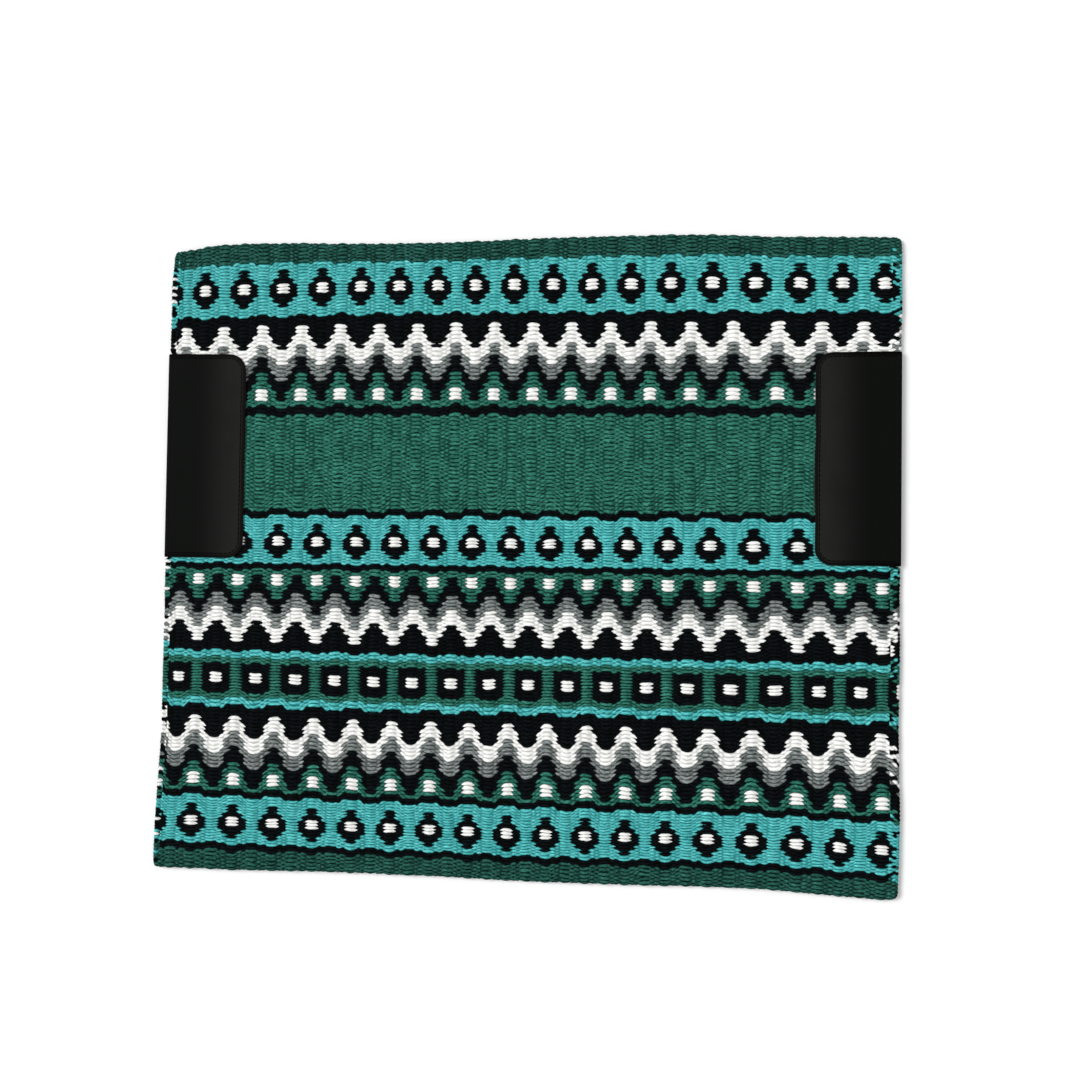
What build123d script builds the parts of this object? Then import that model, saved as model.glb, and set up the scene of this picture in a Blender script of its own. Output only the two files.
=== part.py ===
from build123d import *
import os

# Hand-woven wool saddle blanket, laid flat, all sizes in millimetres.
# +X runs across the horse to its off (right) side, +Y along the spine to the withers, +Z up.
# The origin is under the middle of the blanket, on the surface that it lies on.

# Woven wool
pad_width = 1000.0  # side edge to side edge, across the horse
pad_length = 866.0  # front edge to back edge, along the spine
weave_thickness = 9.0
corner_radius = 11.0  # corners seen from above
edge_round = 3.0  # roll of the outer edges
spine_gap = 0.5  # the cut along the fold, between the two halves
fold_height = 0.3  # the fold line lies this far above the wool

# Wear leathers, one round each side edge
leather_thickness = 2.0
leather_reach = 112.0  # from the side edge towards the spine
leather_length = 283.0  # along the side edge
leather_from_front = 155.0  # front edge of the blanket to front edge of the leather
leather_corner = 24.0
leather_proud = 0.6  # how far the top panel stands above the wool
leather_bend = 3.5  # outer radius where the leather turns round the edge
leather_clearance = 0.1  # between leather and wool, all round

# Stitching, a sunk row round the three sewn sides of each panel
stitch_inset = 6.0  # leather edge to the middle of the row
stitch_start = 7.0  # side edge to the first stitch
stitch_pitch = 6.5
stitch_length = 5.0
thread_width = 0.9
thread_height = 0.45
groove_width = 1.3
groove_depth = 0.5

side_edge = pad_width / 2
front_edge = pad_length / 2
leather_top = weave_thickness + leather_proud
leather_inner_edge = side_edge - leather_reach
leather_front_edge = front_edge - leather_from_front
leather_middle = leather_front_edge - leather_length / 2
core_round = leather_bend - leather_thickness


def slab(plan, low, high):
    """A flat plate of one outline, from the low height to the high one."""
    return extrude(Pos(0, 0, low) * plan, amount=high - low)


def panel_outline(inset, outer_x):
    """A leather panel's outline, its three sewn sides moved in by inset."""
    inner_x = leather_inner_edge + inset
    width = outer_x - inner_x
    centre_x = (outer_x + inner_x) / 2
    outline = Pos(centre_x, leather_middle) * Rectangle(width, leather_length - 2 * inset)
    sewn_corners = outline.vertices().sort_by(Axis.X)[:2]
    return fillet(sewn_corners, leather_corner - inset)


def edge_block(outline, low, high, bend):
    """A plate of one outline whose two edges along the side of the blanket are rounded."""
    block = slab(outline, low, high)
    side_edges = block.edges().filter_by(Axis.Y).group_by(Axis.X)[-1]
    return fillet(side_edges, bend)


def wool_core(clearance):
    """The pressed wool that a leather is sewn round, reaching past its sewn sides."""
    outline = panel_outline(-leather_corner, side_edge - leather_thickness - clearance)
    low = leather_thickness + clearance
    high = leather_top - leather_thickness - clearance
    return edge_block(outline, low, high, core_round)


def make_blanket_half():
    """The off half of the weave, with the wool pressed thin where its leather sits."""
    inner_x = spine_gap / 2
    plan = Pos((side_edge + inner_x) / 2, 0) * Rectangle(side_edge - inner_x, pad_length)
    outer_corners = plan.vertices().sort_by(Axis.X)[-2:]
    half = slab(fillet(outer_corners, corner_radius), 0, weave_thickness)
    faces = half.faces().group_by(Axis.Z)
    rims = faces[0].edges() + faces[-1].edges()
    at_spine = rims.filter_by(Axis.Y).group_by(Axis.X)[0]
    rolled = ShapeList([rim for rim in rims if rim not in at_spine])
    half = fillet(rolled, edge_round)
    covered = slab(panel_outline(-leather_clearance, side_edge), 0, leather_top)
    return half - (covered - wool_core(leather_clearance))


def make_wear_leather():
    """One leather folded round the side edge, with a sunk row for the stitches."""
    outside = edge_block(panel_outline(0, side_edge), 0, leather_top, leather_bend)
    leather = outside - wool_core(0)
    row_outside = panel_outline(stitch_inset - groove_width / 2, side_edge - leather_bend)
    row_inside = panel_outline(stitch_inset + groove_width / 2, side_edge)
    row = row_outside - row_inside
    leather -= slab(row, 0, groove_depth)
    leather -= slab(row, leather_top - groove_depth, leather_top)
    return leather


def stitch_row():
    """The middle line of a row of stitches, round the three sewn sides."""
    outer_x = side_edge - stitch_start
    inner_x = leather_inner_edge + stitch_inset
    front_y = leather_front_edge - stitch_inset
    back_y = leather_front_edge - leather_length + stitch_inset
    corners = [(outer_x, front_y), (inner_x, front_y), (inner_x, back_y), (outer_x, back_y)]
    return FilletPolyline(*corners, radius=leather_corner - stitch_inset)


def make_stitching():
    """Each stitch of both rows as its own short length of thread."""
    row = stitch_row()
    count = int((row.length - stitch_length) // stitch_pitch) + 1
    first = (row.length - (count - 1) * stitch_pitch) / 2
    stitch = extrude(SlotOverall(stitch_length, thread_width), amount=thread_height)
    heights = [groove_depth - thread_height, leather_top - groove_depth]
    stitches = []
    for number in range(count):
        along = (first + number * stitch_pitch) / row.length
        place = row.position_at(along)
        heading = row.tangent_at(along).get_signed_angle(Vector(1, 0, 0), Vector(0, 0, -1))
        for height in heights:
            stitches.append(Pos(place.X, place.Y, height) * Rot(0, 0, heading) * stitch)
    return Compound(children=stitches)


def near_side_of(piece):
    """The same piece on the near (left) side of the spine."""
    return mirror(piece, about=Plane.YZ)


os.makedirs("parts", exist_ok=True)
off_pieces = {
    "woven_blanket": make_blanket_half(),
    "wear_leather": make_wear_leather(),
    "wear_leather_stitching": make_stitching(),
}
for name, piece in off_pieces.items():
    export_step(piece, f"parts/off_{name}.step")
    export_step(near_side_of(piece), f"parts/near_{name}.step")

fold_line = (0.0, 0.0, weave_thickness + fold_height)
print("fold line passes through", fold_line, "along Y")
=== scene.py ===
# %% [markdown]
# # A woven saddle blanket with wear leathers
# The blanket is one heavy piece of weft-faced wool, woven in bands of diamonds, zigzags and squares.
# A black leather is sewn round the middle of each side edge, where the stirrup straps rub.
# The design's flat solids are loaded first. They fix where everything is. Each is then dressed, or
# replaced by a shape with the weave, the bends and the edges of the real thing.

# %% Load the fixed frame
import math

import bpy
import numpy as np
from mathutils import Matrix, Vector
from mathutils.bvhtree import BVHTree


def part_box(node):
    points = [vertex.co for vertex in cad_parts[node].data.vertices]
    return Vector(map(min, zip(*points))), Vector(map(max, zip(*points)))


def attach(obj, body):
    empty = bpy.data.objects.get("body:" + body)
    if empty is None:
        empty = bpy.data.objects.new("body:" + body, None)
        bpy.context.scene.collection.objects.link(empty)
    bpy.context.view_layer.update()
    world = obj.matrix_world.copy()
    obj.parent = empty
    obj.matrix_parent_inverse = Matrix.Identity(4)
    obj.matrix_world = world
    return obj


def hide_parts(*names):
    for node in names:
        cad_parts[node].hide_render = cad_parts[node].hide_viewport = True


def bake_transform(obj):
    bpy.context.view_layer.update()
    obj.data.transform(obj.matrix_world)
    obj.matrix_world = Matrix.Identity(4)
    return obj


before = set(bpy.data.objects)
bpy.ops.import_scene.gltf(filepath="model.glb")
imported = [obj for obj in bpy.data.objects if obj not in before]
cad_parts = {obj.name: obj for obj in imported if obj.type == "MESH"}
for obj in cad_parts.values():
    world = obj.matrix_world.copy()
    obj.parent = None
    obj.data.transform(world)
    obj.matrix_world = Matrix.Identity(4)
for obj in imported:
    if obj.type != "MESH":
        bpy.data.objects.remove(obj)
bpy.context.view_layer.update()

MM = 0.001

# %% [markdown]
# ## Camera, floor and light
# The blanket lies on a white floor and is seen from almost straight above, with the withers end at the top.
# The camera stands a little to the right of the middle and tilts back to it, so the far side looks narrower.
# A broad, soft sun from the left lights the flanks of the ribs, and a pale world fills their shadows.
# The plain standard view keeps black wool black and white wool white.

# %% Camera
CAMERA_PLACE = (0.1784, -0.0247, 1.6173)
CAMERA_TURN = (1.82, 5.45, 0.81)

camera = bpy.data.objects.new("camera", bpy.data.cameras.new("camera"))
camera.data.lens = 40
camera.data.sensor_width = 36
camera.location = CAMERA_PLACE
camera.rotation_euler = [math.radians(angle) for angle in CAMERA_TURN]
bpy.context.scene.collection.objects.link(camera)
bpy.context.scene.camera = camera
bpy.context.scene.view_settings.view_transform = "Standard"
print("camera", CAMERA_PLACE, "lens", camera.data.lens)


# %% Shader sums written as Python sums
class Link:
    """A node's output that takes part in sums: each sum adds one Math node."""

    def __init__(self, finish, socket):
        self.finish, self.socket = finish, socket

    def math(self, operation, *values):
        return self.finish.add("ShaderNodeMath", {"operation": operation}, dict(enumerate(values)))

    def __add__(self, other):
        return self.math("ADD", self, other)

    def __sub__(self, other):
        return self.math("SUBTRACT", self, other)

    def __mul__(self, other):
        return self.math("MULTIPLY", self, other)

    def __truediv__(self, other):
        return self.math("DIVIDE", self, other)

    def __rsub__(self, other):
        return self.math("SUBTRACT", other, self)

    def __gt__(self, other):
        return self.math("GREATER_THAN", self, other)

    __radd__ = __add__
    __rmul__ = __mul__


# %% A finish and its nodes
class Finish:
    """A new material, and the one method that adds a node to it."""

    def __init__(self, name):
        self.material = bpy.data.materials.new(name)
        self.material.use_nodes = True
        self.tree = self.material.node_tree
        self.tree.nodes.clear()

    def add(self, kind, settings=None, sockets=None, out=0):
        node = self.tree.nodes.new(kind)
        for name, value in (settings or {}).items():
            if name == "stops":
                self.set_stops(node.color_ramp, value)
            else:
                setattr(node, name, value)
        for key, value in (sockets or {}).items():
            if isinstance(value, Link):
                self.tree.links.new(value.socket, node.inputs[key])
            else:
                node.inputs[key].default_value = value
        return Link(self, node.outputs[out])

    def set_stops(self, ramp, stops):
        """Each stop is a place from 0 to 1 and a colour that holds until the next stop."""
        ramp.interpolation = "CONSTANT"
        while len(ramp.elements) < len(stops):
            ramp.elements.new(1.0)
        for element, (place, colour) in zip(ramp.elements, stops):
            element.position = place
            element.color = (*colour, 1)

    def mix(self, share, first, second):
        """A colour between two, or one of them where share is 0 or 1."""
        sockets = {0: share, 6: first, 7: second}
        return self.add("ShaderNodeMix", {"data_type": "RGBA"}, sockets, out=2)

    def scale(self, colour, factor):
        """A colour made lighter or darker."""
        return self.add("ShaderNodeVectorMath", {"operation": "SCALE"}, {0: colour, "Scale": factor})

    def vector(self, x, y, z):
        return self.add("ShaderNodeCombineXYZ", {}, {0: x, 1: y, 2: z})

    def smooth(self, value, low, high, start, end):
        """Runs softly from start to end as value goes from low to high."""
        settings = {"interpolation_type": "SMOOTHSTEP"}
        return self.add("ShaderNodeMapRange", settings, {0: value, 1: low, 2: high, 3: start, 4: end})

    def noise(self, place, detail=2.0, roughness=0.5):
        settings = {"noise_dimensions": "3D"}
        sockets = {"Vector": place, "Scale": 1.0, "Detail": detail, "Roughness": roughness}
        return self.add("ShaderNodeTexNoise", settings, sockets)

    def carried(self, name):
        """A value that the mesh carries at its points."""
        return self.add("ShaderNodeAttribute", {"attribute_name": name}, out="Fac")

    def bump(self, height, distance, strength):
        return self.add("ShaderNodeBump", {}, {"Height": height, "Distance": distance, "Strength": strength})

    def close(self, sockets):
        """Ends the material in one Principled shader."""
        shader = self.add("ShaderNodeBsdfPrincipled", {}, sockets)
        output = self.tree.nodes.new("ShaderNodeOutputMaterial")
        self.tree.links.new(shader.socket, output.inputs["Surface"])
        return self.material


# %% Floor and light
FLOOR_SIZE = 60.0
FLOOR_WHITE = (0.93, 0.93, 0.93, 1)
KEY_STRENGTH = 2.3
KEY_SOFTNESS = 28
KEY_FROM = Vector((-1.0, 0.35, 0.95))
WORLD_LIGHT = 0.66


def lay_floor():
    half = FLOOR_SIZE / 2
    corners = [(-half, -half, 0), (half, -half, 0), (half, half, 0), (-half, half, 0)]
    mesh = bpy.data.meshes.new("floor")
    mesh.from_pydata(corners, [], [(0, 1, 2, 3)])
    floor = bpy.data.objects.new("floor", mesh)
    floor.location.z = -0.05 * MM
    paper = Finish("floor_paper")
    mesh.materials.append(paper.close({"Base Color": FLOOR_WHITE, "Roughness": 0.9}))
    bpy.context.scene.collection.objects.link(floor)


def hang_light():
    key = bpy.data.objects.new("soft_key", bpy.data.lights.new("soft_key", "SUN"))
    key.data.energy = KEY_STRENGTH
    key.data.angle = math.radians(KEY_SOFTNESS)
    key.rotation_euler = (-KEY_FROM).to_track_quat("-Z", "Y").to_euler()
    bpy.context.scene.collection.objects.link(key)
    world = bpy.data.worlds.new("pale_room")
    world.use_nodes = True
    world.node_tree.nodes["Background"].inputs["Strength"].default_value = WORLD_LIGHT
    world.node_tree.nodes["Background"].inputs["Color"].default_value = (1, 1, 1, 1)
    bpy.context.scene.world = world


lay_floor()
hang_light()
print("floor", FLOOR_SIZE, "m square, key light", KEY_STRENGTH)

# %% [markdown]
# ## The weaver's draft
# A weaver reads a band as columns of coloured picks. One motif is eight warp threads wide, and the two
# doubled threads and the single ones between them show as four kinds of column: the middle one of a diamond,
# two beside it, and the one halfway to the next diamond. Each is a list of colours with their rows, from the
# withers end to the back. An image could hold this, but a draft is exact at any size and easy to change.

# %% Wool colours and the bands
WOOL = {
    "heading": (0.020, 0.100, 0.078),
    "green": (0.031, 0.168, 0.125),
    "turquoise": (0.100, 0.505, 0.505),
    "black": (0.0030, 0.0045, 0.0055),
    "white": (0.93, 0.93, 0.91),
    "grey": (0.215, 0.240, 0.235),
}
MOTIF_THREADS = 8
LEVELS = 4


def plain(colour, rows):
    """A stripe of one colour."""
    return [[(colour, rows)] for _ in range(LEVELS)]


def diamonds(before, after):
    """Black diamonds with a white heart, eleven rows long, on turquoise."""
    ground = "turquoise"
    return [
        [(ground, before), ("black", 4), ("white", 3), ("black", 4), (ground, after)],
        [(ground, before + 3), ("black", 7), (ground, after + 1)],
        [(ground, before + 4), ("black", 4), (ground, after + 3)],
        [(ground, before + 11 + after)],
    ]


def zigzag(peak, black_rows, rows, broad=0):
    """Black, white, grey, black and green zigzags, which fall back one or two rows a column beside a peak."""
    fallen = [(0, 4 + broad, 4 - broad, 4), (2, 4 + broad, 4 - broad, 4), (4, 4, 4, 4), (5, 4, 4, 5)]
    columns = []
    for level in range(LEVELS):
        steps = abs(level - peak)
        fall, white, grey, black = fallen[steps]
        column = [("black", black_rows + fall), ("white", white), ("grey", grey), ("black", black)]
        left = rows - sum(count for _, count in column)
        column += [("green", left)] if steps else [("green", left - 4), ("white", 3), ("green", 1)]
        columns.append(column)
    return columns


def turned(columns):
    """The same figure with its back to the front."""
    return [column[::-1] for column in columns]


def squares():
    """Black squares with a white heart, and a green bar between them."""
    square = [("green", 2), ("black", 9), ("green", 2)]
    heart = [("green", 2), ("black", 3), ("white", 3), ("black", 3), ("green", 2)]
    return [[("green", 13)], square, square, heart]


print("wool colours", sorted(WOOL))

# %% Bands from the withers end to the back
# Each band's columns, its length in mm, and how far its back end waves with each motif.
BANDS = [
    (plain("heading", 6), 29.5, -1.1),
    (diamonds(2, 3), 73.2, 3.1),
    (zigzag(3, 3, 23, broad=1), 126.0, 3.3),
    (plain("black", 2), 12.0, 2.8),
    (plain("green", 24), 131.5, -2.2),
    (plain("black", 2), 8.5, -2.6),
    (diamonds(3, 2), 65.0, 1.7),
    (plain("black", 2), 8.5, 2.5),
    (turned(zigzag(0, 3, 23)), 113.5, 2.3),
    (plain("turquoise", 2), 9.1, 2.2),
    (squares(), 56.9, -1.7),
    (plain("turquoise", 2), 10.5, -2.7),
    (zigzag(0, 3, 22), 115.7, -2.3),
    (plain("black", 2), 8.9, -1.8),
    (diamonds(3, 2), 63.4, 2.7),
    (plain("black", 2), 8.9, 2.9),
    (plain("heading", 5), 24.9, 0.0),
]


def rows_in(columns):
    return sum(count for _, count in columns[0])


ROWS = sum(rows_in(columns) for columns, _, _ in BANDS)
for columns, _, _ in BANDS:
    assert all(sum(count for _, count in column) == rows_in(columns) for column in columns)
print("rows of weft", ROWS)

# %% [markdown]
# ## Where a thread and a row lie
# The loom's own coordinates are a thread number across and a row number along. Working in them keeps the
# relief and the colours together: a bent thread takes both with it. The warps stand a little wider apart
# towards the sides, and the bands wave because the floats of a figure push the rows together.

# %% From threads and rows to the blanket's surface
blanket_low = Vector(map(min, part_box("near_woven_blanket")[0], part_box("off_woven_blanket")[0]))
blanket_high = Vector(map(max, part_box("near_woven_blanket")[1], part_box("off_woven_blanket")[1]))
HALF_WIDTH = (blanket_high.x - blanket_low.x) / 2
HALF_LENGTH = (blanket_high.y - blanket_low.y) / 2
HALF_THICKNESS = (blanket_high.z - blanket_low.z) / 2
MOTIFS = 18
MOTIF_WIDTH = 52.6 * MM
MOTIF_SPREAD = 0.0258 * MM
FIGURE_SHIFT = 10.6 * MM
OFF_SIDE_SLIP = 7.5 * MM
OFF_SLIP_MIDDLE = 0.375
OFF_SLIP_SPREAD = 0.10
NEAR_SIDE_DRAW = 0.010
DRAW_STARTS = 0.2
DRAW_ENDS = 0.39
HALF_ROW_LEAD = 1.35 * MM
NEAR_TURN_DRAW = 10.5 * MM
NEAR_TURN_FADE = 0.033

band_rows = np.concatenate([[0], np.cumsum([rows_in(columns) for columns, _, _ in BANDS])])
band_ends = np.concatenate([[0], np.cumsum([length for _, length, _ in BANDS])])
band_ends = band_ends / band_ends[-1] * 2 * HALF_LENGTH
band_waves = np.concatenate([[0], [wave * MM for _, _, wave in BANDS]])
band_waves[1:-1] -= HALF_ROW_LEAD


def smooth_step(value, low, high):
    share = np.clip((value - low) / (high - low), 0, 1)
    return share * share * (3 - 2 * share)


def across(thread):
    """Where a warp thread lies, from the blanket's middle. Thread 0 is the middle of the first diamond."""
    motif = thread / MOTIF_THREADS - (MOTIFS - 1) / 2
    place = FIGURE_SHIFT + MOTIF_WIDTH * motif + MOTIF_SPREAD * motif**3
    place = place + OFF_SIDE_SLIP * np.exp(-(((place - OFF_SLIP_MIDDLE) / OFF_SLIP_SPREAD) ** 2))
    from_edge = np.exp(-(place + HALF_WIDTH) / NEAR_TURN_FADE)
    return place + NEAR_TURN_DRAW * from_edge * (place > -2 * HALF_WIDTH)


def along(row, thread):
    """Where a row lies on a thread, from the blanket's middle. Row 0 is at the withers end."""
    end_pitch = band_ends[1] / band_rows[1]
    place = np.interp(row, band_rows, band_ends)
    place = place + np.minimum(row, 0) * end_pitch + np.maximum(row - ROWS, 0) * end_pitch
    wave = np.interp(row, band_rows, band_waves)
    y = HALF_LENGTH - place - wave * np.cos(2 * math.pi * thread / MOTIF_THREADS)
    draw = NEAR_SIDE_DRAW * smooth_step(-across(thread), DRAW_STARTS, HALF_WIDTH)
    return y - draw * y * (1 - smooth_step(np.abs(y), DRAW_ENDS, HALF_LENGTH))


def soft_noise(x, y, seed):
    """Smooth chance from -1 to 1, with one hill or hollow to each unit of x and y."""
    chance = np.random.default_rng(seed).uniform(-1, 1, (256, 256))
    column, line = np.floor(x).astype(int), np.floor(y).astype(int)
    s, t = x - column, y - line
    s, t = s * s * (3 - 2 * s), t * t * (3 - 2 * t)
    here, right = chance[column % 256, line % 256], chance[(column + 1) % 256, line % 256]
    above, beyond = chance[column % 256, (line + 1) % 256], chance[(column + 1) % 256, (line + 1) % 256]
    return (here * (1 - s) + right * s) * (1 - t) + (above * (1 - s) + beyond * s) * t


print("band ends in mm", [round(end / MM, 1) for end in band_ends])

# %% [markdown]
# ## The floats' relief
# Each pick of wool shows as a lens: thick over its warps, thin where it dives under the next column, whose
# picks sit half a row further on. So the tips of two columns mesh like fingers. The surface is the higher
# of the two yarns at each point, and the same comparison will choose the colour in the wool's finish.

# %% Relief of the yarn
YARN_ROUND = 1.30 * MM
YARN_SPAN = 1.60 * MM
RIB = 0.35 * MM
WIDE_RIB = 0.20 * MM
FLOAT_CHANCE = 0.50 * MM
RELIEF_TOP = YARN_ROUND + YARN_SPAN + RIB + WIDE_RIB
THREADS_OFF = [0, 0.75, 1.25, 1.5, 1.75, 2.25, 2.5, 3, 3.25, 4]
PLACES = [0, 0.25, 0.65, 0.95, 1.2, 1.7, 2.1, 2.65, 2.8, 3]


def column_place(thread):
    """0 on a diamond's middle column, 1 and 2 on the single ones, 3 on the column halfway to the next."""
    off = np.abs((thread + 4) % MOTIF_THREADS - 4)
    return np.interp(off, THREADS_OFF, PLACES)


def yarn_relief(thread, row):
    place = column_place(thread)
    swing = np.cos(math.pi * place)
    to_whole = np.abs((row + 0.5) % 1 - 0.5)
    to_half = 0.5 - to_whole
    even = YARN_ROUND * (1 - 4 * to_half**2) + YARN_SPAN * (1 + swing) / 2
    odd = YARN_ROUND * (1 - 4 * to_whole**2) + YARN_SPAN * (1 - swing) / 2
    side = np.where((thread + 4) % MOTIF_THREADS > 4, 1, -1)
    level = np.where(even > odd, 2 * np.round(place / 2), 2 * np.floor(place / 2) + 1)
    column = (6 * np.floor((thread + 4) / MOTIF_THREADS) + side * level).astype(int)
    pick = np.floor(row + np.where(even > odd, 0, 0.5)).astype(int)
    chance = np.random.default_rng(7).uniform(-1, 0, (512, 512))[column % 512, pick % 512]
    depth = 1 + 0.9 * soft_noise(thread / 2, row / 45, 8)
    ribs = RIB * (1 - depth * (1 - np.cos(math.pi * thread))) + WIDE_RIB * np.cos(math.pi * thread / 2)
    return np.maximum(even, odd) + ribs + FLOAT_CHANCE * chance


print("relief from the core in mm", round(RELIEF_TOP / MM, 2))

# %% [markdown]
# ## The blanket's body
# The heavy wool lies almost flat, with a little lift here and there, and it keeps the marks of how it was
# folded to be stored. Its ends are rolled over by the last rows, and its sides are the turns of the weft.
# One half shell is worked out as a surface over threads and rows, with the rolls as its last lines. The
# other half is the same shell turned over, so the two close into one sheet with the weave on both faces.

# %% Grid lines and rolled edges
THREAD_STEP = 0.25
ROW_STEP = 0.25
CORE = HALF_THICKNESS - RELIEF_TOP
ROLL = HALF_THICKNESS * math.pi / 2
CORNER = 12 * MM
UNEVEN = 0.16


def line_places(step, edge_low, edge_high):
    """Grid lines a step apart between two edges, with one line exactly on each edge."""
    inner = np.arange(math.ceil(edge_low / step), math.floor(edge_high / step) + 1) * step
    inner = inner[(inner > edge_low + step / 3) & (inner < edge_high - step / 3)]
    return np.concatenate([[edge_low], inner, [edge_high]])


def thread_lines():
    fine = np.linspace(-12, MOTIFS * MOTIF_THREADS + 4, 4001)
    edge = HALF_WIDTH - HALF_THICKNESS + ROLL
    low, high = np.interp([-edge, edge], across(fine), fine)
    return line_places(THREAD_STEP, low, high)


def row_lines():
    end_pitch = band_ends[1] / band_rows[1]
    extra = (ROLL - HALF_THICKNESS) / end_pitch
    return line_places(ROW_STEP, -extra, ROWS + extra)


threads, rows = np.meshgrid(thread_lines(), row_lines(), indexing="ij")
woven_rows = rows + UNEVEN * soft_noise(threads / 1.3, rows / 2.2, 13)
print("grid", threads.shape, "threads from", round(threads.min(), 2), "to", round(threads.max(), 2))


# %% Leathers press the wool
LEATHER_CORNER = 24 * MM
near_low, near_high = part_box("near_wear_leather")
LEATHER_REACH = near_high.x - near_low.x
LEATHER_HALF = (near_high.y - near_low.y) / 2
LEATHER_MIDDLE = (near_high.y + near_low.y) / 2
LEATHER_THICKNESS = 2.0 * MM


def inside_leather(x, y):
    """How far a point of the blanket is inside the outline of the leather on its side."""
    from_inner = np.abs(x) - (HALF_WIDTH - LEATHER_REACH)
    from_end = LEATHER_HALF - np.abs(y - LEATHER_MIDDLE)
    a, b = LEATHER_CORNER - from_inner, LEATHER_CORNER - from_end
    return LEATHER_CORNER - np.hypot(np.maximum(a, 0), np.maximum(b, 0)) - np.minimum(np.maximum(a, b), 0)


print("leather reach and half length in mm", round(LEATHER_REACH / MM, 1), round(LEATHER_HALF / MM, 1))


# %% Shape of the half shell
PRESSED = 1.9 * MM
CREASES = [(-365, 0.5), (-206, 0.8), (2, 1.0), (164, 0.8)]
CREASE_DEPTH = 1.1 * MM
CREASE_WIDTH = 3.0 * MM


def rolled(place, flat):
    """Where a line over the edge goes: its place on the core, and its share of outward and of up."""
    over = np.clip((np.abs(place) - flat) / HALF_THICKNESS, 0, math.pi / 2)
    return np.sign(place) * np.minimum(np.abs(place), flat), np.sign(place) * np.sin(over), np.cos(over)


def blanket_shell():
    """The upper half of the sheet: points, and the lift that both halves share."""
    x = across(threads) + 0.5 * MM * soft_noise(threads / 2.1, rows / 6, 11)
    y = along(rows, threads) + 0.55 * MM * soft_noise(threads / 1.6, rows / 3.5, 12)
    relief = yarn_relief(threads, woven_rows)
    x, out_x, up_x = rolled(x, HALF_WIDTH - HALF_THICKNESS)
    y, out_y, up_y = rolled(y, HALF_LENGTH - HALF_THICKNESS)
    press = smooth_step(inside_leather(x, y), -3.5 * MM, 0.5 * MM)
    crease = 0
    for place, strength in CREASES:
        wander = 2.5 * MM * soft_noise(y / 0.06 + place, 0 * y, 21)
        fade = 0.75 + 0.25 * soft_noise(y / 0.09, 0 * y + place, 22)
        crease = crease + strength * fade * np.exp(-(((x - place * MM - wander) / CREASE_WIDTH) ** 2))
    relief = relief * (1 - press) + (RELIEF_TOP - PRESSED) * press - CREASE_DEPTH * crease * (1 - press)
    height = (CORE + relief) * up_x * up_y
    point_x = x + (CORE + relief) * out_x
    point_y = y + (CORE + relief) * out_y * np.maximum(up_x, 0.35)
    return point_x, point_y, height, press


print("creases at", [place for place, _ in CREASES], "mm from the spine")


# %% Corners, waves of the outline and lift
LIFT = 1.6 * MM
FRONT_BOW = 3.0 * MM
FRONT_WAVE = 3.3 * MM
FRONT_DROOP = 9.0 * MM
BACK_SAG = 8.5 * MM
BACK_FLARE = 6.0 * MM
EDGE_CHANCE = 1.6 * MM


def round_corners(x, y):
    """Brings the points near a square corner onto a round one."""
    a = np.clip((np.abs(x) - (HALF_WIDTH - CORNER)) / CORNER, 0, 1)
    b = np.clip((np.abs(y) - (HALF_LENGTH - CORNER)) / CORNER, 0, 1)
    x = x - np.sign(x) * CORNER * a * (1 - np.sqrt(1 - b * b / 2))
    y = y - np.sign(y) * CORNER * b * (1 - np.sqrt(1 - a * a / 2))
    return x, y


def settle(x, y, press):
    """The outline's slow waves, and the cloth's lift off the floor. Both leave the leathers' places alone."""
    free = 1 - smooth_step(inside_leather(x, y), -60 * MM, -5 * MM)
    side = smooth_step(np.abs(x), 0.3, HALF_WIDTH)
    end = smooth_step(np.abs(y), 0.25, HALF_LENGTH)
    moved_x = x + EDGE_CHANCE * side * free * soft_noise(y / 0.11, np.sign(x), 31)
    moved_x = moved_x - np.sign(x) * (LEATHER_THICKNESS + 0.35 * MM) * press * side
    moved_y = y + EDGE_CHANCE * end * soft_noise(x / 0.13, np.sign(y), 32)
    front, near_front = smooth_step(y, 0.2, HALF_LENGTH), smooth_step(y, 0.37, HALF_LENGTH)
    moved_y = moved_y + FRONT_BOW * np.cos(math.pi * x) * front
    moved_y = moved_y + FRONT_WAVE * np.sin(np.clip(x / 0.33, -1, 1) * math.pi) * near_front
    moved_y = moved_y - FRONT_DROOP * np.exp(-(((x + HALF_WIDTH) / 0.05) ** 2)) * near_front
    moved_y = moved_y - BACK_SAG * smooth_step(x, 0.28, HALF_WIDTH) * smooth_step(-y, 0.2, HALF_LENGTH)
    near_edge = smooth_step(-x, 0.4, HALF_WIDTH)
    moved_x = moved_x - BACK_FLARE * near_edge * smooth_step(-y, 0.22, 0.4)
    moved_x = moved_x + 0.8 * BACK_FLARE * near_edge * smooth_step(y, 0.36, HALF_LENGTH)
    lift = LIFT * (0.5 + 0.5 * soft_noise(x / 0.17 + 3, y / 0.21, 33)) * free
    return moved_x, moved_y, lift * smooth_step(np.abs(x), 0.01, 0.12)


print("greatest lift", round(LIFT / MM, 1), "and sag of the back edge", round(BACK_SAG / MM, 1), "mm")


# %% Weave the blanket's mesh
def grid_quads(across_count, along_count):
    """The quads of a grid of points, counted line by line."""
    number = np.arange((across_count - 1) * along_count).reshape(across_count - 1, along_count)
    corner = number[:, :-1].ravel()
    return np.stack([corner, corner + 1, corner + along_count + 1, corner + along_count], axis=1)


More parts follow.
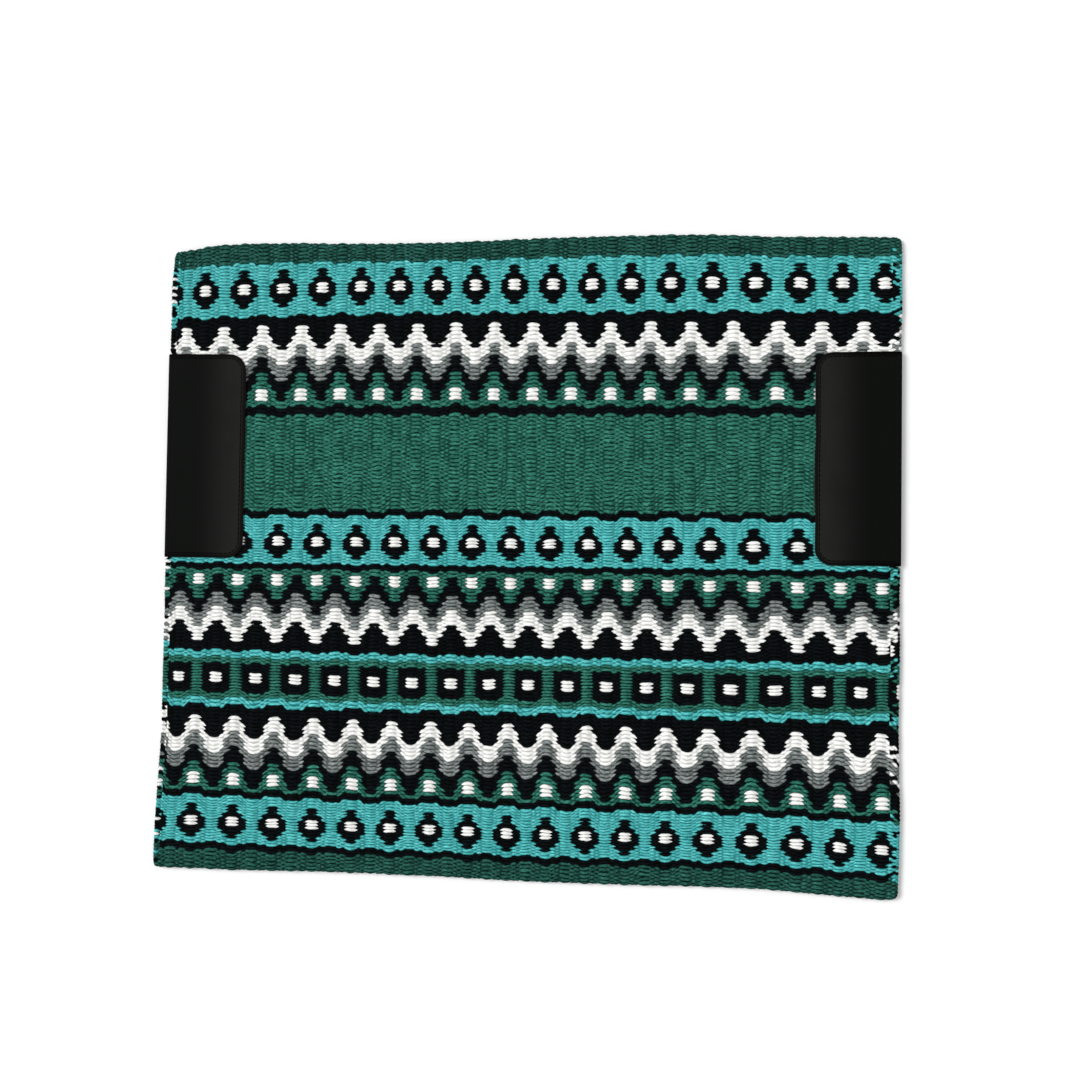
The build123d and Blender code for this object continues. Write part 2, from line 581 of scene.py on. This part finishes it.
def mesh_from(name, points, quads):
    """A smooth mesh from arrays, without the slow lists that small meshes are given."""
    mesh = bpy.data.meshes.new(name)
    mesh.vertices.add(len(points))
    mesh.vertices.foreach_set("co", np.asarray(points, np.float32).ravel())
    mesh.loops.add(4 * len(quads))
    mesh.loops.foreach_set("vertex_index", np.asarray(quads, np.int32).ravel())
    mesh.polygons.add(len(quads))
    mesh.polygons.foreach_set("loop_start", np.arange(0, 4 * len(quads), 4, dtype=np.int32))
    mesh.update(calc_edges=True)
    mesh.validate()
    mesh.shade_smooth()
    return mesh


def add_values(mesh, name, values):
    mesh.attributes.new(name, "FLOAT", "POINT").data.foreach_set("value", np.asarray(values, np.float32))


def weave_blanket():
    x, y, height, press = blanket_shell()
    x, y = round_corners(x, y)
    x, y, lift = settle(x, y, press)
    middle = blanket_low.z + HALF_THICKNESS + lift
    count = threads.size
    upper = np.stack([x, y, middle + height], axis=-1).reshape(-1, 3)
    lower = np.stack([x, y, middle - height], axis=-1).reshape(-1, 3)
    rim = np.zeros(threads.shape, bool)
    rim[[0, -1], :] = rim[:, [0, -1]] = True
    rim = rim.ravel()
    number = np.arange(count)
    under = np.where(rim, number, count + np.cumsum(~rim) - 1)
    upper_quads = grid_quads(*threads.shape)[:, ::-1]
    lower_quads = under[grid_quads(*threads.shape)]
    points = np.concatenate([upper, lower[~rim]])
    mesh = mesh_from("saddle_blanket", points, np.concatenate([upper_quads, lower_quads]))
    for name, values in (("thread", threads), ("row", woven_rows), ("place", column_place(threads))):
        add_values(mesh, name, np.concatenate([values.ravel(), values.ravel()[~rim]]))
    blanket = bpy.data.objects.new("saddle_blanket", mesh)
    bpy.context.scene.collection.objects.link(blanket)
    return blanket


blanket = weave_blanket()
print("blanket points", len(blanket.data.vertices), "faces", len(blanket.data.polygons))

# %% [markdown]
# ## The wool's finish
# Dyed wool is matt, with fine fibres along each pick and a slightly different tone from pick to pick. The
# middle of each pick is painted lit, and painted shade darkens the gaps between picks and the grooves between
# ribs. The finish reads the loom's coordinates that the mesh carries, repeats the comparison of the two
# yarns, and looks the colour up in the draft. That gives sharp floats at any distance.

# %% Draft as colour ramps
HALF_DRAFT = ROWS // 2


def level_stops(level, first, last):
    """The draft of one kind of column between two rows, as stops of a ramp."""
    stops, row = [], 0
    for columns, _, _ in BANDS:
        for colour, count in columns[level]:
            start, end = max(row, first), min(row + count, last)
            if end > start and not (stops and stops[-1][1] == WOOL[colour]):
                stops.append(((start - first) / (last - first), WOOL[colour]))
            row += count
    return stops


print("stops in a ramp", [len(level_stops(level, 0, HALF_DRAFT)) for level in range(LEVELS)])


# %% Wool finish
SELVEDGE = 2.3
TURN_SHIFT = 8
NEAR_TURN_SHARE = 0.7
FIBRE_DEPTH = 0.35 * MM
# Painted shade in the gaps between picks: how much of the colour it keeps, and how much more pale wool keeps.
GAP_SHADE_BASE = 0.03
GAP_SHADE_PALE_LIFT = 0.55
YARN_WANDER = 2.1 * MM
TURN_CHANCE = 0.18


def draft_colour(wool, level, pick):
    """The colour of a pick in one kind of column."""
    back = pick > HALF_DRAFT - 0.5
    place = (pick + 0.5 - back * HALF_DRAFT) / HALF_DRAFT
    place_back = (pick + 0.5 - HALF_DRAFT) / (ROWS - HALF_DRAFT)
    front_stops, back_stops = level_stops(level, 0, HALF_DRAFT), level_stops(level, HALF_DRAFT, ROWS)
    front_ramp = wool.add("ShaderNodeValToRGB", {"stops": front_stops}, {0: place})
    back_ramp = wool.add("ShaderNodeValToRGB", {"stops": back_stops}, {0: place_back})
    return wool.mix(back, front_ramp, back_ramp)


def wool_finish():
    wool = Finish("woven_wool")
    thread, row, place = wool.carried("thread"), wool.carried("row"), wool.carried("place")
    swing = place.math("COSINE", place * math.pi)
    to_whole = row.math("PINGPONG", row, 0.5)
    wander = wool.noise(wool.vector(thread * 1.2, row * 1.4, 0.0), 1.0)
    lead = YARN_ROUND * (4 * to_whole - 1) + YARN_SPAN * swing + YARN_WANDER * (wander - 0.5)
    on_even = lead > 0
    pick = row.math("FLOOR", row + (1 - on_even) * 0.5)
    motif = thread.math("FLOOR", (thread + 4) / MOTIF_THREADS)
    side = 2 * ((thread + 4) / MOTIF_THREADS - motif > 0.5) - 1
    level = on_even * 2 * (place > 1) + (1 - on_even) * (1 + 2 * (place > 2))
    column = 6 * motif + side * level
    chance = wool.add("ShaderNodeTexWhiteNoise", {}, {"Vector": wool.vector(column, pick, 0.5)})
    from_left = (thread - float(threads.min())) * NEAR_TURN_SHARE
    from_right = float(threads.max()) - thread
    edge = from_left.math("MINIMUM", from_left, from_right)
    turn = (1 - (edge > SELVEDGE)) * ((chance - 0.5).math("ABSOLUTE", chance - 0.5) > TURN_CHANCE)
    shift = wool.add("ShaderNodeMath", {"operation": "ROUND"}, {0: (chance - 0.5) * TURN_SHIFT})
    shifted = pick + turn * shift
    shifted = shifted.math("MINIMUM", shifted.math("MAXIMUM", shifted, 0), ROWS - 1)
    columns = [draft_colour(wool, kind, shifted) for kind in range(LEVELS)]
    even_colour = wool.mix(place > 1, columns[0], columns[2])
    odd_colour = wool.mix(place > 2, columns[1], columns[3])
    colour = wool.mix(on_even, odd_colour, even_colour)
    from_middle = (0.5 - to_whole) * on_even + to_whole * (1 - on_even)
    strand = wool.noise(wool.vector(thread * 0.9, row * 3.1, column * 0.7), 2.0, 0.6)
    fibres = wool.noise(wool.vector(thread * 1.5, row * 5.5, column * 0.7), 3.0, 0.75)
    fuzz = wool.smooth(fibres, 0.3, 0.7, 0, 1)
    groove = wool.noise(wool.vector(thread * 0.5, row * 0.12, 4.0), 1.0)
    # Painted highlight: the middle of each pick is painted lit, fading towards its ends.
    crest_light = wool.smooth(from_middle + 0.9 * (strand - 0.5), 0.16, 0.46, 1, 0)
    # Painted shade in the dip where two picks meet.
    dip_shade = wool.smooth(lead.math("ABSOLUTE", lead), 0, 0.7 * MM, 0.15, 1)
    # Painted shade along the wandering grooves between the ribs.
    rib_shade = 1 - wool.smooth(groove, 0.42, 0.62, 0, 0.75) * (1 - swing.math("ABSOLUTE", swing))
    # Share of the colour left lit; the rest takes the painted gap shade.
    lit_share = crest_light * dip_shade * rib_shade
    # Painted gap shade: the colour darkened, less so for pale wool.
    gap_shade_factor = wool.add("ShaderNodeVectorMath", {"operation": "MULTIPLY_ADD"}, {
        0: colour, 1: (GAP_SHADE_PALE_LIFT, GAP_SHADE_PALE_LIFT, GAP_SHADE_PALE_LIFT), 2: (GAP_SHADE_BASE, GAP_SHADE_BASE, GAP_SHADE_BASE),
    })
    painted_gap_shade = wool.add("ShaderNodeVectorMath", {"operation": "MULTIPLY"}, {0: colour, 1: gap_shade_factor})
    tone = (0.80 + 0.40 * chance) * (0.15 + 1.70 * fuzz)
    paleness = wool.add("ShaderNodeVectorMath", {"operation": "MULTIPLY_ADD"}, {
        0: colour, 1: (-0.95, -0.95, -0.95), 2: (1, 1, 1),
    })
    change = wool.add("ShaderNodeVectorMath", {"operation": "MULTIPLY_ADD"}, {
        0: wool.scale(paleness, tone - 1), 1: colour, 2: colour,
    })
    return wool.close({
        "Base Color": wool.mix(lit_share, painted_gap_shade, change),
        "Roughness": 0.95,
        "Specular IOR Level": 0.05,
        "Normal": wool.bump(lit_share + 0.6 * fuzz, FIBRE_DEPTH, 0.7),
    })


blanket.data.materials.append(wool_finish())
print("wool finish", len(blanket.data.materials[0].node_tree.nodes), "nodes")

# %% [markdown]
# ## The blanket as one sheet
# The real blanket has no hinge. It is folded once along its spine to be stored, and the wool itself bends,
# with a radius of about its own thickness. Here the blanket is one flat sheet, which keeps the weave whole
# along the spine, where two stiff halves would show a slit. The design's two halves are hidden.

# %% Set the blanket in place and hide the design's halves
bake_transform(blanket)
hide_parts("near_woven_blanket", "off_woven_blanket")

# %% [markdown]
# ## Wear leathers
# Each leather is one piece of smooth black hide, folded round the side edge and sewn down through the wool
# six millimetres inside its edge. Each stitch pulls the hide down under it, so the panel between the rows
# swells a little, and the cut edge is gently uneven. It could be a bevelled box, but a folded sheet worked
# out from its own section has the bend, the sunk row and the raw edge where a hide has them.

# %% Section of a folded hide
HIDE = 1.6 * MM
BEND = 3.5 * MM
SEW_INSET = 6.0 * MM
SEW_SINK = 0.55 * MM
PANEL_SWELL = 0.55 * MM
CUT_EDGE_DROP = 0.6 * MM
CUT_EDGE_WAVE = 0.7 * MM
BEND_MARK = 8.0 * MM
NEAR_EDGE = [0, 0.25, 0.6, 1.1, 1.9, 3.0, 4.2, 4.9, 5.3, 5.6, 6.0, 6.4, 6.7, 7.1, 7.8, 9.0]
HIDE_STEP = 1.0
THREAD_NEAR = 3.0 * MM


def from_sewn_edge(length):
    """Distances from a sewn edge up to length: close together as far as the stitches, then wide."""
    count = int((length / MM - NEAR_EDGE[-1]) / HIDE_STEP)
    return np.concatenate([NEAR_EDGE, np.linspace(NEAR_EDGE[-1], length / MM, count)[1:]]) * MM


def hide_section():
    """The outer face from the upper sewn edge round the bend to the lower one: reach, height and normal."""
    half_height = (near_high.z - near_low.z) / 2
    flat = from_sewn_edge(LEATHER_REACH - BEND)
    angle = np.linspace(0, math.pi / 2, 7)[1:]
    reach = np.concatenate([flat, LEATHER_REACH - BEND + BEND * np.sin(angle)])
    height = np.concatenate([np.full(flat.shape, half_height), half_height - BEND + BEND * np.cos(angle)])
    out = np.concatenate([0 * flat, np.sin(angle)])
    up = np.concatenate([0 * flat + 1, np.cos(angle)])
    reach, height = np.append(reach, reach[::-1]), np.append(height, -height[::-1])
    return reach, height, np.append(out, out[::-1]), np.append(up, -up[::-1])


def shell_quads(across_count, along_count):
    """Two grids of the same size, one inside the other, closed along their rim."""
    count = across_count * along_count
    outer = grid_quads(across_count, along_count)
    grid = np.arange(count).reshape(across_count, along_count)
    rim = np.concatenate([grid[0], grid[1:, -1], grid[-1, -2::-1], grid[-2:0:-1, 0]])
    following = np.roll(rim, -1)
    wall = np.stack([following, rim, rim + count, following + count], axis=1)
    return np.concatenate([outer, outer[:, ::-1] + count, wall])


print("a hide has", len(hide_section()[0]), "lines from one sewn edge round to the other")


# %% Cut and fold the leathers
def thread_distance(side, points, inside):
    """How far the points near the row are from the stitches. Points elsewhere get THREAD_NEAR."""
    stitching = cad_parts[side + "_wear_leather_stitching"]
    corners = [stitching.matrix_world @ vertex.co for vertex in stitching.data.vertices]
    stitches = BVHTree.FromPolygons(corners, [tuple(face.vertices) for face in stitching.data.polygons])
    distance = np.full(len(points), THREAD_NEAR)
    for number in np.flatnonzero(np.abs(inside - SEW_INSET) < THREAD_NEAR):
        distance[number] = min(stitches.find_nearest(points[number])[3], THREAD_NEAR)
    return distance


def fold_leather(side, sign):
    reach_line, height_line, out_line, up_line = hide_section()
    half_lines = from_sewn_edge(LEATHER_HALF)
    along_line = np.concatenate([half_lines - LEATHER_HALF, (LEATHER_HALF - half_lines)[-2::-1]])
    reach, along_hide = np.meshgrid(reach_line, along_line, indexing="ij")
    section = (height_line, out_line, up_line)
    height, out, up = [np.repeat(line[:, None], len(along_line), 1) for line in section]
    cut = np.maximum(LEATHER_CORNER - reach, 0)
    half = LEATHER_HALF - LEATHER_CORNER + np.sqrt(LEATHER_CORNER**2 - cut**2)
    x = HALF_WIDTH - LEATHER_REACH + reach
    y = LEATHER_MIDDLE + along_hide * half / LEATHER_HALF
    inside = inside_leather(x, y)
    middle = (near_low.z + near_high.z) / 2
    points = np.stack([sign * x, y, middle + height], -1).reshape(-1, 3)
    distance = thread_distance(side, points, inside.ravel()).reshape(inside.shape)
    in_row = smooth_step(-np.abs(inside - SEW_INSET), -0.8 * MM, -0.45 * MM)
    sunk = in_row * smooth_step(-distance, -1.1 * MM, -0.6 * MM)
    upper = np.clip(up, 0, 1)
    rise = -CUT_EDGE_DROP * np.clip(1 - inside / (1.3 * MM), 0, 1) ** 2 - SEW_SINK * sunk
    rise = rise - 0.18 * MM * np.exp(-(((LEATHER_REACH - reach - BEND_MARK) / (0.8 * MM)) ** 2))
    swell = 1 + 0.6 * soft_noise(x / 0.035, y / 0.04, 51)
    rise = rise + PANEL_SWELL * swell * smooth_step(inside, 7 * MM, 24 * MM) * upper * (1 - out)
    rise = np.where(up < 0, np.minimum(rise, 0), rise)
    wave_x = CUT_EDGE_WAVE * soft_noise(y / 0.028, 0 * y + sign, 52) * np.exp(-reach / 0.008)
    near_end = np.exp((np.abs(along_hide) - half) / 0.01)
    wave_y = CUT_EDGE_WAVE * soft_noise(x / 0.03, np.sign(along_hide), 53) * near_end
    faces = []
    for depth, lift in ((0, rise), (HIDE, 0)):
        face_x = sign * (x + wave_x + out * (lift - depth))
        faces.append(np.stack([face_x, y + wave_y, middle + height + up * (lift - depth)], -1).reshape(-1, 3))
    quads = shell_quads(*reach.shape)
    mesh = mesh_from(side + "_hide", np.concatenate(faces), quads[:, ::-1] if sign > 0 else quads)
    add_values(mesh, "inside", np.concatenate([inside.ravel(), np.full(inside.size, -1 * MM)]))
    add_values(mesh, "reach", np.concatenate([reach.ravel(), reach.ravel()]))
    add_values(mesh, "distance", np.concatenate([distance.ravel(), np.full(inside.size, THREAD_NEAR)]))
    leather = bpy.data.objects.new(side + "_hide", mesh)
    bpy.context.scene.collection.objects.link(leather)
    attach(leather, side + "_side")
    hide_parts(side + "_wear_leather")
    return leather


leathers = [fold_leather("near", -1), fold_leather("off", 1)]

# %% [markdown]
# ## Black leather and waxed thread
# The hide is dyed through and hardly shines. It is a little greyer towards the spine, a painted sheen,
# its pores are fine, and the cut edge keeps a dark red brown. The border outside the stitches is darker, a
# painted shade where the edge falls away. The thread is black and waxed and lies sunk in its row, and the
# hide round each stitch, which it pulls down, gets a painted shade.

# %% Leather and thread finishes
def leather_finish():
    hide = Finish("black_leather")
    inside, reach, distance = hide.carried("inside"), hide.carried("reach"), hide.carried("distance")
    place = hide.add("ShaderNodeTexCoord", {}, {}, out="Object")
    pores = {"Vector": place, "Scale": 700.0}
    grain = hide.add("ShaderNodeTexVoronoi", {"feature": "DISTANCE_TO_EDGE"}, pores)
    cloud = hide.noise(hide.scale(place, 28.0), 4.0, 0.6)
    # Painted sheen: the hide is painted greyer towards the spine, patchy with the cloud.
    painted_sheen = hide.smooth(reach, 5 * MM, 72 * MM, 1, 0) * (0.6 + 0.8 * cloud)
    dye_and_sheen = hide.mix(painted_sheen, (0.0036, 0.0042, 0.0036, 1), (0.0142, 0.0145, 0.0136, 1))
    # Painted shade: darker outside the stitch row, where the edge falls away, and darkest round each stitch,
    # where the thread pulls the hide down.
    border_shade = hide.smooth(inside, 3.4 * MM, 5.4 * MM, 0.33, 1)
    painted_shade = border_shade * hide.smooth(distance, 0.05 * MM, 0.4 * MM, 0.05, 1)
    cut = hide.smooth(inside, 0.1 * MM, 0.8 * MM, 1, 0)
    colour = hide.mix(cut, hide.scale(dye_and_sheen, painted_shade), (0.020, 0.0055, 0.0045, 1))
    height = 0.35 * grain.math("MINIMUM", grain * 8, 1) + cloud
    return hide.close({
        "Base Color": colour,
        "Roughness": 0.46 + 0.2 * cloud,
        "Specular IOR Level": 0.02,
        "Normal": hide.bump(height, 0.25 * MM, 0.5),
    })


def thread_finish():
    waxed = Finish("waxed_thread")
    place = waxed.add("ShaderNodeTexCoord", {}, {}, out="Object")
    ply = waxed.add("ShaderNodeTexWave", {"bands_direction": "DIAGONAL"}, {"Vector": place, "Scale": 500.0})
    fuzz = waxed.noise(waxed.scale(place, 2500.0))
    colour = waxed.mix(ply * fuzz, (0.0008, 0.0008, 0.0009, 1), (0.0030, 0.0029, 0.0028, 1))
    return waxed.close({
        "Base Color": colour,
        "Roughness": 0.6,
        "Specular IOR Level": 0.02,
        "Normal": waxed.bump(ply, 0.1 * MM, 0.6),
    })


leather, waxed = leather_finish(), thread_finish()
for hide in leathers:
    hide.data.materials.append(leather)
for side in ("near", "off"):
    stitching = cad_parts[side + "_wear_leather_stitching"]
    stitching.data.materials.clear()
    stitching.data.materials.append(waxed)
print("finishes on", len(leathers), "leathers and their stitching")
